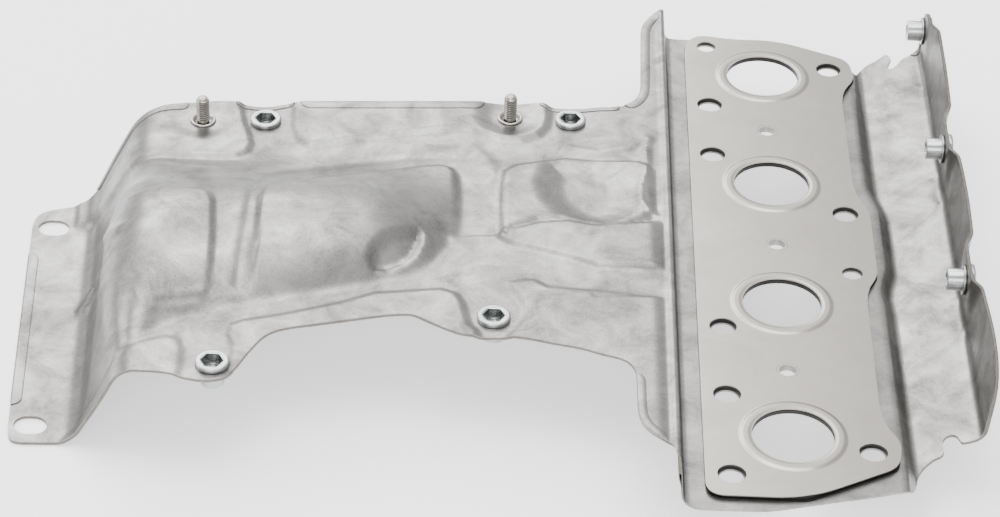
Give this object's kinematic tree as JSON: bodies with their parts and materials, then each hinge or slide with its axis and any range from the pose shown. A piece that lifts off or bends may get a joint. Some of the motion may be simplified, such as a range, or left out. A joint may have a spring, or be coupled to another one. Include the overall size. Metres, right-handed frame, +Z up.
{
  "type": "exhaust gasket with heat shield",
  "caption": "Layered exhaust port gasket riveted to a pressed sheet-metal heat shield with captive nuts and studs.",
  "frame": {"origin": "middle of the row of ports, on the gasket's upper face", "axes": "+X across the ports towards the right wall, +Y along the row of ports, +Z up from the gasket's face"},
  "size_m": [0.4141, 0.3464, 0.0606],
  "materials": {
    "aluminised_sheet": "dull aluminised, slightly mottled",
    "insulation_fibre": "pressed fibre",
    "gasket_steel": "satin stainless",
    "carrier_steel": "dark cut edge",
    "eyelet_steel": "bright rolled",
    "plated_nut": "zinc plated",
    "plated_washer": "zinc plated",
    "stud_steel": "turned, slightly oily"
  },
  "bodies": {
    "gasket_and_shield": {"shield_upper_skin": "aluminised_sheet", "shield_lower_skin": "aluminised_sheet", "insulation_left": "insulation_fibre", "insulation_right": "insulation_fibre", "gasket_upper_layer": "gasket_steel", "gasket_carrier": "carrier_steel", "gasket_lower_layer": "gasket_steel", "eyelet_far": "eyelet_steel", "eyelet_middle": "eyelet_steel", "eyelet_near": "eyelet_steel", "stud_eyelet_left": "eyelet_steel", "stud_eyelet_right": "eyelet_steel"},
    "captive_nut_far_left": {"nut_far_left": "plated_nut", "nut_washer_far_left": "plated_washer"},
    "captive_nut_far_right": {"nut_far_right": "plated_nut", "nut_washer_far_right": "plated_washer"},
    "captive_nut_near_left": {"nut_near_left": "plated_nut", "nut_washer_near_left": "plated_washer"},
    "captive_nut_near_right": {"nut_near_right": "plated_nut", "nut_washer_near_right": "plated_washer"},
    "captive_nut_wall_far": {"nut_wall_far": "plated_nut", "nut_washer_wall_far": "plated_washer"},
    "captive_nut_wall_middle": {"nut_wall_middle": "plated_nut", "nut_washer_wall_middle": "plated_washer"},
    "captive_nut_wall_near": {"nut_wall_near": "plated_nut", "nut_washer_wall_near": "plated_washer"},
    "turning_stud_left": {"stud_left": "stud_steel"},
    "turning_stud_right": {"stud_right": "stud_steel"}
  },
  "joints": [
    {"name": "nut_turn_far_left", "type": "hinge", "parent": "gasket_and_shield", "child": "captive_nut_far_left", "pos_m": [-0.2284, 0.0624, 0.011], "axis": [0, 0, 1], "continuous": true},
    {"name": "nut_turn_far_right", "type": "hinge", "parent": "gasket_and_shield", "child": "captive_nut_far_right", "pos_m": [-0.0909, 0.0713, 0.011], "axis": [0, 0, 1], "continuous": true},
    {"name": "nut_turn_near_left", "type": "hinge", "parent": "gasket_and_shield", "child": "captive_nut_near_left", "pos_m": [-0.2355, -0.1135, 0.011], "axis": [0, 0, 1], "continuous": true},
    {"name": "nut_turn_near_right", "type": "hinge", "parent": "gasket_and_shield", "child": "captive_nut_near_right", "pos_m": [-0.1222, -0.0766, 0.011], "axis": [0, 0, 1], "continuous": true},
    {"name": "nut_turn_wall_far", "type": "hinge", "parent": "gasket_and_shield", "child": "captive_nut_wall_far", "pos_m": [0.07905, 0.16, 0.011], "axis": [1, 0, 0], "continuous": true},
    {"name": "nut_turn_wall_middle", "type": "hinge", "parent": "gasket_and_shield", "child": "captive_nut_wall_middle", "pos_m": [0.07905, 0.0608, 0.011], "axis": [1, 0, 0], "continuous": true},
    {"name": "nut_turn_wall_near", "type": "hinge", "parent": "gasket_and_shield", "child": "captive_nut_wall_near", "pos_m": [0.07905, -0.0372, 0.011], "axis": [1, 0, 0], "continuous": true},
    {"name": "stud_turn_left", "type": "hinge", "parent": "gasket_and_shield", "child": "turning_stud_left", "pos_m": [-0.2565, 0.0614, 0.011], "axis": [0, 0, 1], "continuous": true},
    {"name": "stud_turn_right", "type": "hinge", "parent": "gasket_and_shield", "child": "turning_stud_right", "pos_m": [-0.1183, 0.0722, 0.011], "axis": [0, 0, 1], "continuous": true}
  ]
}
